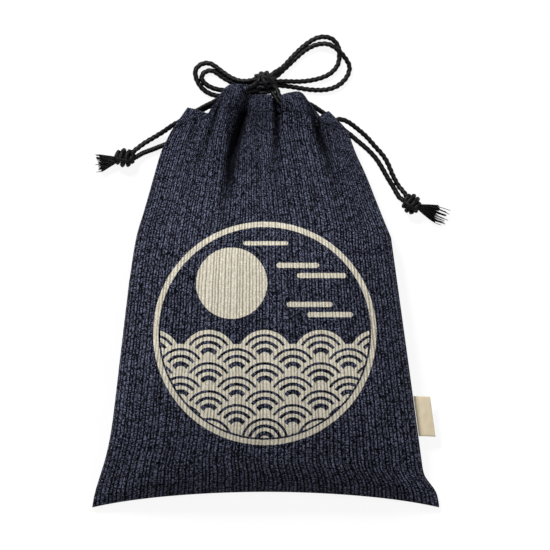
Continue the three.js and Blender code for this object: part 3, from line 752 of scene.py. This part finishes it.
# Cords: the part's own points in millimetres, with a few stretches laid nearer the photo
CORDS = {
    "first_cord_front": [
        (-81.8, 84.9, 4.9), (-79.5, 86.5, 5), (-73.3, 91.4, 3.2), (-66.7, 95.4, 3.2),
        (-61, 98.8, 5), (-56.5, 101.8, 8), (-51.5, 104.4, 10.6), (-45.7, 105.6, 12),
        (-41.2, 104.8, 12.9), (-36.7, 105.1, 13.7), (-33, 104.6, 14.4), (-29.4, 105.9, 16),
        (-26.8, 109.6, 18), (-24.6, 114.2, 20), (-21.1, 118.3, 21.5), (-16.6, 119.5, 19.1),
        (-12.3, 121, 16.6), (-8, 122.6, 14), (-4.4, 123.2, 11.6), (-3, 124.8, 9.2),
        (-3.7, 127, 7.8),
    ],
    "first_cord_left_loop": [
        (-3.3, 130.7, 7.4), (-7, 129.6, 7.9), (-11.2, 128.8, 7), (-16.2, 129.2, 5.4),
        (-21.8, 131.6, 3.8), (-27.6, 135.8, 2.3), (-33.4, 139.6, 1.7), (-38.2, 139.3, 1.7),
        (-42, 135.8, 1.7), (-41.3, 129.8, 1.7), (-37.1, 123.8, 1.7), (-31.6, 120.8, 1.7),
        (-25.6, 120, 1.7), (-20, 120.6, 1.7), (-13.8, 122.5, 2.3), (-6.8, 123.8, 3.6),
        (-3.1, 125.9, 4.8),
    ],
    "first_cord_right_loop": [
        (2.2, 130.6, 6.6), (4, 133, 6.4), (9.6, 136.6, 4.2), (15.4, 142.8, 2.2), (21.4, 148.8, 1.7),
        (27.3, 153.2, 1.7), (32.6, 155.4, 1.7), (39.1, 154.7, 1.7), (43.1, 150.4, 1.5),
        (44.1, 144.7, 1.5), (43.2, 138.9, 1.7), (38.8, 133.7, 1.7), (31.4, 130.4, 2),
        (21, 128.7, 3.2), (13, 128.7, 4.8), (6.6, 128.6, 6.2), (2.5, 128.6, 6.4),
    ],
    "first_cord_back": [
        (2.5, 127.3, 9.3), (5.1, 125.7, 11.8), (7.3, 122, 14.4), (9.1, 117.5, 16.3),
        (14, 117.1, 18.3), (18.9, 116.8, 20), (22.9, 115.7, 18), (26.8, 114.3, 14.8),
        (31, 111.9, 10.8), (35, 109.4, 7.2), (38.6, 107.6, 6.1), (41, 105, 5.4), (39.8, 102.4, 4.8),
        (36.8, 101.6, 4.6), (33, 102.8, 4.5), (30.9, 106.2, 5.5), (28.8, 110.8, 5),
        (25.4, 114, 4.4), (20.8, 115.3, 3.8), (16.3, 116.2, 3.7), (11.2, 116.4, 3.7),
        (6.2, 116.3, 3.7), (2, 116.2, 3.7), (-3.8, 116.1, 3.7), (-10.5, 116.1, 3.8),
        (-16.9, 115.9, 3.8), (-22.5, 115.2, 3.9), (-27.7, 116.5, 3.9), (-32.4, 114.2, 4),
        (-35.3, 113.1, 4), (-39.1, 111, 3.8), (-43.6, 109, 3.8), (-46.5, 106.8, 3.2),
        (-48.8, 103.4, 2.2), (-51.3, 99, 1.8), (-54.3, 94.6, 1.8), (-58.5, 91.8, 1.7),
        (-63, 90, 1.7), (-68, 88, 1.8), (-74, 85.7, 2.4), (-79.6, 82.6, 4), (-81.8, 82.8, 4.4),
    ],
    "second_cord_front": [
        (84.9, 58.6, 4.5), (83, 62.1, 3.8), (79.7, 66.1, 2), (76.1, 72.7, 1.8), (73.1, 79.9, 1.8),
        (70.1, 84.7, 1.8), (65.3, 90.1, 2), (60.5, 95.5, 3), (54.4, 100.6, 6), (48.5, 104.6, 9.4),
        (43.4, 105.7, 11.3), (39.6, 103.2, 11.7), (35.8, 101.8, 12.6), (31.6, 101.8, 14),
        (27.8, 103.8, 15.4), (25, 107.8, 17.2), (22.8, 111.9, 19), (17.9, 114, 19.6),
        (13.7, 113.2, 17.9), (9.2, 114.7, 15.5), (6.2, 118.5, 12.3), (3.7, 122.5, 9.8),
        (1.4, 125.4, 8.2),
    ],
    "second_cord_left_loop": [
        (-3.6, 129.4, 5.7), (-7.5, 128.5, 5.3), (-12.7, 127.1, 4.1), (-19.8, 128.1, 2.5),
        (-26.2, 131.6, 1.7), (-32.2, 135.3, 1.7), (-37, 134, 1.7), (-38.4, 130.5, 1.7),
        (-35, 126.5, 1.7), (-28.6, 124, 1.7), (-22.6, 123.6, 1.7), (-15.8, 125, 1.7),
        (-8.7, 126.8, 2), (-3.7, 128, 3.4),
    ],
    "second_cord_right_loop": [
        (2, 129.7, 4.8), (5.2, 131, 3.2), (10, 135.2, 1.8), (16, 140.8, 1.7), (23, 147, 1.8),
        (30.2, 150.7, 2.8), (37.4, 151, 4.8), (43, 147.8, 4.9), (47.5, 142.9, 3.2), (50.2, 137.6, 1.7),
        (48.6, 131.6, 1.7), (43.4, 126.4, 1.7), (36.2, 123.9, 1.7), (25.4, 124, 1.7), (17, 125.4, 2),
        (10, 126.2, 2.8), (4.2, 126.6, 4), (2.1, 127.4, 5.1),
    ],
    "second_cord_back": [
        (-3.5, 128.8, 9), (-4.4, 127.6, 11.4), (-7.6, 125.4, 14.8), (-11.3, 124, 17.8),
        (-16.2, 123.2, 19.8), (-20.5, 122.2, 21), (-25.2, 119.6, 18.6), (-30.5, 116.2, 15.6),
        (-35.2, 114.1, 11.6), (-39.3, 112, 8.4), (-43, 109.6, 7.6), (-44.6, 106.6, 6.2),
        (-43.4, 104.4, 4.6), (-40.8, 103.8, 3.2), (-36.5, 104.5, 3.1), (-32.7, 107.2, 2.9),
        (-29, 110.4, 3), (-23.7, 111.6, 3.4), (-18.3, 112.4, 3.6), (-12.2, 112.7, 3.7),
        (-4.1, 112.8, 3.7), (4, 112.9, 3.7), (11.6, 113, 3.7), (18.4, 112.3, 3.6),
        (23.6, 110.7, 3.5), (28.1, 108.1, 2.5), (30.8, 103.6, 2.4), (34.9, 100.4, 3.1),
        (40.4, 100, 3.1), (45.6, 99.8, 2.8), (50, 97.4, 2.3), (54, 94, 1.9), (60.8, 88.3, 1.8),
        (66.2, 82.5, 1.8), (70, 76.5, 1.8), (73.4, 70.5, 1.8), (77, 64.7, 1.8), (80.3, 59.1, 3.1),
        (83.7, 56.9, 4),
    ],
}
BOW_KNOT = ((-0.5, 128.6, 6.5), (5.7, 7, 6))
LEFT_KNOT = ((-84.5, 83, 4.9), (6, 5, 4.6))
RIGHT_KNOT = ((87.2, 55.4, 4.9), (5.2, 5.6, 4.6))
KNOT_TURNS = 4
KNOT_STRAND = 1.4
LEFT_TASSEL = (math.radians(192), 14.5, 12)  # direction, longest thread and length of the tuft
RIGHT_TASSEL = (math.radians(-21), 20, 12.5)
CLUMPS = 3
CLUMP_THREADS = 40
CLUMP_SPREAD = 0.4
THREAD_RADIUS = 0.36
THREAD_THIN = np.linspace(1, 0.55, 9)  # a thread's share of its radius at each of its points
LONG_THREADS = 0.12  # share of the threads that outrun the tuft
TUFT_ROOT = 4  # from the middle of the knot
BRAID_STEP = 0.55
BRAID_STRANDS = 3  # that run each way round the cord
BRAID_TWIST = 1.9  # how tightly they run, in radians for each millimetre
BRAID_RISE = 0.25  # rise of the strands over the plain cord


def smooth_line(points, step):
    """Centripetal curve through the points, resampled at even distances."""
    p = [np.array(q, float) for q in points]
    p = [2 * p[0] - p[1]] + p + [2 * p[-1] - p[-2]]
    line = []
    for i in range(1, len(p) - 2):
        knots = [0.0]
        for k in range(3):
            knots.append(knots[-1] + np.linalg.norm(p[i + k] - p[i + k - 1]) ** 0.5)
        for t in np.linspace(knots[1], knots[2], 24, endpoint=False):
            level = [p[i + k - 1] for k in range(4)]
            for depth in range(1, 4):
                level = [
                    (level[k] * (knots[k + depth] - t) + level[k + 1] * (t - knots[k]))
                    / (knots[k + depth] - knots[k])
                    for k in range(4 - depth)
                ]
            line.append(level[0])
    line.append(p[-2])
    line = np.array(line)
    far = np.concatenate([[0], np.cumsum(np.linalg.norm(np.diff(line, axis=0), axis=1))])
    count = max(int(round(far[-1] / step)), 4)
    even = np.linspace(0, far[-1], count + 1)
    return np.stack([np.interp(even, far, line[:, k]) for k in range(3)], 1), far[-1]


def braided_tube(line, radius, sides=14, relief_share=0.2, taper=None):
    """Points, faces and braid heights of a braided round tube along a line."""
    tangent = np.gradient(line, axis=0)
    tangent /= np.linalg.norm(tangent, axis=1, keepdims=True)
    up = np.array([0.0, 0.0, 1.0])
    normal = np.cross(tangent[0], up)
    if np.linalg.norm(normal) < 1e-3:
        normal = np.array([1.0, 0.0, 0.0])
    frames = []
    for direction in tangent:
        normal = normal - direction * np.dot(normal, direction)
        normal /= np.linalg.norm(normal)
        frames.append((normal, np.cross(direction, normal)))
    steps = np.linalg.norm(np.diff(line, axis=0, prepend=line[:1]), axis=1)
    along = np.cumsum(steps)
    points = []
    heights = []
    for i, (a, b) in enumerate(frames):
        for k in range(sides):
            angle = 2 * math.pi * k / sides
            left = math.cos(BRAID_STRANDS * angle + BRAID_TWIST * along[i])
            right = math.cos(BRAID_STRANDS * angle - BRAID_TWIST * along[i] + 0.7)
            height = max(left, right, 0.0) ** 2
            size = radius * (1 - relief_share + relief_share * height)
            if taper is not None:
                size *= taper[i]
            points.append(line[i] + size * (math.cos(angle) * a + math.sin(angle) * b))
            heights.append(height)
    faces = []
    for i in range(len(line) - 1):
        for k in range(sides):
            j = (k + 1) % sides
            faces.append((i * sides + k, i * sides + j, (i + 1) * sides + j, (i + 1) * sides + k))
    faces.append(tuple(reversed(range(sides))))
    last = (len(line) - 1) * sides
    faces.append(tuple(last + k for k in range(sides)))
    return points, faces, heights


cord_paint = cord_material()


def tube_piece(name, tubes, node):
    """One piece of cord made of several tubes."""
    points = []
    faces = []
    heights = []
    for p, f, h in tubes:
        base = len(points)
        points += [tuple(map(float, q)) for q in p]
        faces += [tuple(base + k for k in face) for face in f]
        heights += h
    mesh = bpy.data.meshes.new(name)
    mesh.from_pydata(points, [], faces)
    put_attribute(mesh, "braid", "FLOAT", heights)
    put_attribute(mesh, "along", "FLOAT_VECTOR", np.array(points))
    mesh.materials.append(cord_paint)
    return link(name, mesh, "cord", node)


for cord_name, cord_points in CORDS.items():
    line, length = smooth_line(cord_points, BRAID_STEP)
    tube = braided_tube(line, CORD / 2 + BRAID_RISE)
    piece = tube_piece(cord_name + "_braid", [tube], cord_name)


def wrapped_knot(name, knot, axis, node):
    """A knot of braided strands laid side by side over its bundle."""
    centre, radii = knot
    centre = np.array(centre)
    radii = np.array(radii) - KNOT_STRAND * np.array([0.3, 0.3, 0.7])
    axis = np.array(axis) / np.linalg.norm(axis)
    side = np.cross(axis, [0, 0, 1])
    side /= np.linalg.norm(side)
    lift = np.cross(side, axis)
    wraps = []
    for s in np.linspace(-1, 1, 60 * KNOT_TURNS):
        lean = s * 0.8 * math.pi / 2
        angle = math.pi * KNOT_TURNS * s
        around = side * math.cos(angle) + lift * math.sin(angle)
        spot = axis * math.sin(lean) + around * math.cos(lean)
        wraps.append(centre + spot * radii)
    crossing = []
    for s in np.linspace(-1.1, 1.1, 40):
        angle = s * math.pi / 2
        spot = axis * math.sin(angle) * 0.9 + (side * 0.35 + lift * 1.05) * math.cos(angle)
        crossing.append(centre + spot * radii)
    shares = np.linspace(-0.92, 0.92, 24)
    core = [centre + axis * s * radii for s in shares]
    swell = [(1 - s**2) ** 0.5 for s in shares]
    tubes = [
        braided_tube(np.array(wraps), KNOT_STRAND, sides=12),
        braided_tube(np.array(crossing), KNOT_STRAND, sides=12),
        braided_tube(np.array(core), float(min(radii)), sides=16, taper=swell),
    ]
    return tube_piece(name, tubes, node)


def tassel_piece(name, knot, tassel, node):
    """Cut cord ends that fray beyond their knot: a wide short tuft with a few longer threads."""
    direction, longest, tuft = tassel
    centre = np.array(knot[0])
    heading = np.array([math.cos(direction), math.sin(direction), 0])
    side = np.array([-math.sin(direction), math.cos(direction), 0])
    root = centre + heading * TUFT_ROOT
    tubes = []
    for clump in range(CLUMPS):
        lean = (clump - 1) * CLUMP_SPREAD
        for _ in range(CLUMP_THREADS):
            angle = random.uniform(0, 2 * math.pi)
            out = math.sqrt(random.uniform(0, 1))
            reach = tuft * random.uniform(0.86, 1.06)
            if random.random() < LONG_THREADS:
                reach = longest * random.uniform(0.85, 1)
            twist = random.uniform(0.6, 1.4)
            line = []
            for s in np.linspace(0, 1, len(THREAD_THIN)):
                wide = out * (1.3 + 0.6 * s)
                turn = angle + twist * s
                across = lean * min(reach * s, tuft) ** 0.9 + wide * math.cos(turn)
                spot = root + heading * reach * s + side * across
                spot[2] = max(centre[2] - 2.2 * s + wide * math.sin(turn) - 0.4, 0.4)
                line.append(spot)
            tubes.append(braided_tube(np.array(line), THREAD_RADIUS, sides=5, taper=THREAD_THIN,
                                      relief_share=0.05))
    return tube_piece(name, tubes, node)


# The bow's knot: strands laid over each other, round a braided core
BOW_STRAND = 1.5
BOW_CORE = 4.6
BOW_STRANDS = [
    [(-6.2, 123.2, 8.4), (-5.4, 126.2, 12), (-4, 129.6, 13), (-3, 132.2, 11), (-2.7, 133.4, 7.8),
     (-3.2, 132.4, 4.4)],
    [(4, 122.8, 8.4), (3.4, 126.2, 12.4), (2.2, 129.8, 13.2), (1, 132.6, 11), (0.6, 133.8, 7.6),
     (1.2, 132.6, 4.2)],
    [(-6.4, 128.2, 7), (-4.2, 127.2, 12.4), (-0.6, 127.4, 15), (3, 128.8, 13.6), (5.4, 130.6, 8)],
    [(-5.8, 131.8, 7), (-3.4, 131.4, 12), (0, 130.4, 14.6), (3.6, 128.2, 13), (5.6, 125.8, 8)],
    [(-14, 121.6, 8.6), (-10.6, 122, 9.8), (-5, 121.9, 11), (0, 121.9, 11.4), (3, 123, 10.6),
     (5, 126.5, 9)],
    [(-9, 125.4, 10), (-5, 124.8, 12.6), (-1, 125, 13.6), (3, 126, 12.4), (6, 128.2, 9)],
    [(0.2, 121.8, 9), (0.6, 124.4, 13), (-0.8, 128, 15.4), (-1.8, 130.6, 13.6), (-1.2, 132.4, 9)],
]


def bow_knot_piece():
    """Strands and core as one piece."""
    strands = [braided_tube(smooth_line(strand, 0.5)[0], BOW_STRAND) for strand in BOW_STRANDS]
    centre, radii = BOW_KNOT
    core = [(centre[0], centre[1] + s * radii[1] * 0.8, centre[2]) for s in np.linspace(-1, 1, 16)]
    swell = np.sqrt(np.maximum(1 - np.linspace(-0.95, 0.95, 16) ** 2, 0.02))
    strands.append(braided_tube(np.array(core), BOW_CORE, sides=16, taper=swell))
    return tube_piece("bow_knot_wraps", strands, "bow_knot")


bow_piece = bow_knot_piece()
left_piece = wrapped_knot("left_knot_wraps", LEFT_KNOT, (1, -0.25, 0), "left_end_knot")
right_piece = wrapped_knot("right_knot_wraps", RIGHT_KNOT, (0.8, -0.6, 0), "right_end_knot")
left_tuft = tassel_piece("left_tassel_threads", LEFT_KNOT, LEFT_TASSEL, "left_tassel")
right_tuft = tassel_piece("right_tassel_threads", RIGHT_KNOT, RIGHT_TASSEL, "right_tassel")


# Cloth: columns for each half width, rows below the tabs, and depth of the ribs in millimetres
FRONT_GRID = (225, 92, 0.42)
BACK_GRID = (200, 80, 0.3)


def panel(name, front, grid, *nodes):
    mesh = cloth_mesh(name, cloth_grid(front, *grid), front)
    mesh.materials.append(cloth_material(front))
    return link(name, mesh, "ribbed_cotton", *nodes)


front_cloth = panel("front_cloth", True, FRONT_GRID, "front_panel", "print_waves", "print_moon")
back_cloth = panel("back_cloth", False, BACK_GRID, "back_panel")

# Tag
TAG_COLUMNS = 28
TAG_ROWS = 48
TAG_CROWN = 0.25
SEARCH_STEPS = 25


def edge_place(target):
    """How far up the right seam, 0 to 1, a height in millimetres lies."""
    t = 0.5
    for _ in range(SEARCH_STEPS):
        t = min(max(t + (target - float(body_plan(1.0, t)[1])) / POUCH_LENGTH, 0), 1)
    return t


def tag_mesh():
    """A soft strip that leaves the right seam and bends down a little."""
    wide = TAG_COLUMNS
    tall = TAG_ROWS
    outer = np.zeros((wide + 1, tall + 1, 3))
    for j in range(tall + 1):
        t = edge_place(TAG_Y + j / tall * TAG_HEIGHT)
        x, y = body_plan(1.0, t)
        for i in range(wide + 1):
            a = i / wide
            z = float(seam_at(1.0, t)) - TAG_DROP * a * a
            edge = min(i, wide - i, j, tall - j) / 2
            soft = 0.12 * math.sin(3.1 * a + 0.9 * j / tall) + 0.1 * math.sin(0.5 * j)
            crown = TAG_CROWN + 0.2 * min(edge, 1) + soft * a * 0.6
            outer[i, j] = (float(x) + CLEARANCE + a * TAG_WIDTH, float(y) - a * a * TAG_LEAN,
                           z + crown)
    inner = outer.copy()
    inner[:, :, 2] -= TAG_THICKNESS
    size = (wide + 1) * (tall + 1)
    points = np.concatenate([outer.reshape(-1, 3), inner.reshape(-1, 3)])
    faces = []
    for i in range(wide):
        for j in range(tall):
            a = i * (tall + 1) + j
            quad = (a, a + tall + 1, a + tall + 2, a + 1)
            faces.append(quad)
            faces.append(tuple(size + k for k in reversed(quad)))
            for edge, (p, q) in ((j == 0, (0, 1)), (i == wide - 1, (1, 2)),
                                 (j == tall - 1, (2, 3)), (i == 0, (3, 0))):
                if edge:
                    faces.append((quad[p], quad[p] + size, quad[q] + size, quad[q]))
    mesh = bpy.data.meshes.new("tag_tape_piece")
    mesh.from_pydata(points.tolist(), [], faces)
    put_attribute(mesh, "cloth", "FLOAT_VECTOR", points)
    return mesh


tag = tag_mesh()
tag.materials.append(tag_material())
tag_piece = link("tag_piece", tag, "tag_tape", "side_tag")

# Floor, lights and world, in metres and watts: a lamp has a place, a size and a power
FLOOR_HALF = 3
FLOOR_DROP = 0.0002
FLOOR_GREY = 0.85
FLOOR_GLOW = 1.05
GLOW_SHARE = 0.85
WORLD_LIGHT = 0.2
LIGHTS = [("key", (-0.6, 1.15, 1.25), 0.3, 29), ("fill", (0.9, 0.1, 1.3), 1.2, 6)]


def floor_material():
    """A floor that the camera sees as white, and that lights the pouch like pale paper."""
    made, tree, shader = material("floor")
    shader.inputs["Base Color"].default_value = (FLOOR_GREY, FLOOR_GREY, FLOOR_GREY, 1)
    shader.inputs["Roughness"].default_value = 0.9
    rays = tree.nodes.new("ShaderNodeLightPath")
    glow = tree.nodes.new("ShaderNodeEmission")
    glow.inputs["Strength"].default_value = FLOOR_GLOW
    seen = Nodes(tree).math("MULTIPLY", rays.outputs["Is Camera Ray"], GLOW_SHARE)
    blend = tree.nodes.new("ShaderNodeMixShader")
    tree.links.new(seen, blend.inputs[0])
    tree.links.new(shader.outputs[0], blend.inputs[1])
    tree.links.new(glow.outputs[0], blend.inputs[2])
    tree.links.new(blend.outputs[0], tree.nodes["Material Output"].inputs["Surface"])
    return made


def area_light(name, place, size, power):
    """A square lamp that looks at the middle of the floor."""
    data = bpy.data.lights.new(name, "AREA")
    data.size = size
    data.energy = power
    lamp = bpy.data.objects.new(name, data)
    lamp.location = place
    lamp.rotation_euler = (-Vector(place)).to_track_quat("-Z", "Y").to_euler()
    bpy.context.collection.objects.link(lamp)


corners = [(-FLOOR_HALF, -FLOOR_HALF, 0), (FLOOR_HALF, -FLOOR_HALF, 0), (FLOOR_HALF, FLOOR_HALF, 0),
           (-FLOOR_HALF, FLOOR_HALF, 0)]
floor_mesh = bpy.data.meshes.new("floor")
floor_mesh.from_pydata(corners, [], [(0, 1, 2, 3)])
floor_mesh.materials.append(floor_material())
floor = bpy.data.objects.new("floor", floor_mesh)
floor.location.z = -FLOOR_DROP
bpy.context.collection.objects.link(floor)
world = bpy.data.worlds.new("studio")
world.use_nodes = True
world.node_tree.nodes["Background"].inputs["Color"].default_value = (1, 1, 1, 1)
world.node_tree.nodes["Background"].inputs["Strength"].default_value = WORLD_LIGHT
bpy.context.scene.world = world
for light in LIGHTS:
    area_light(*light)
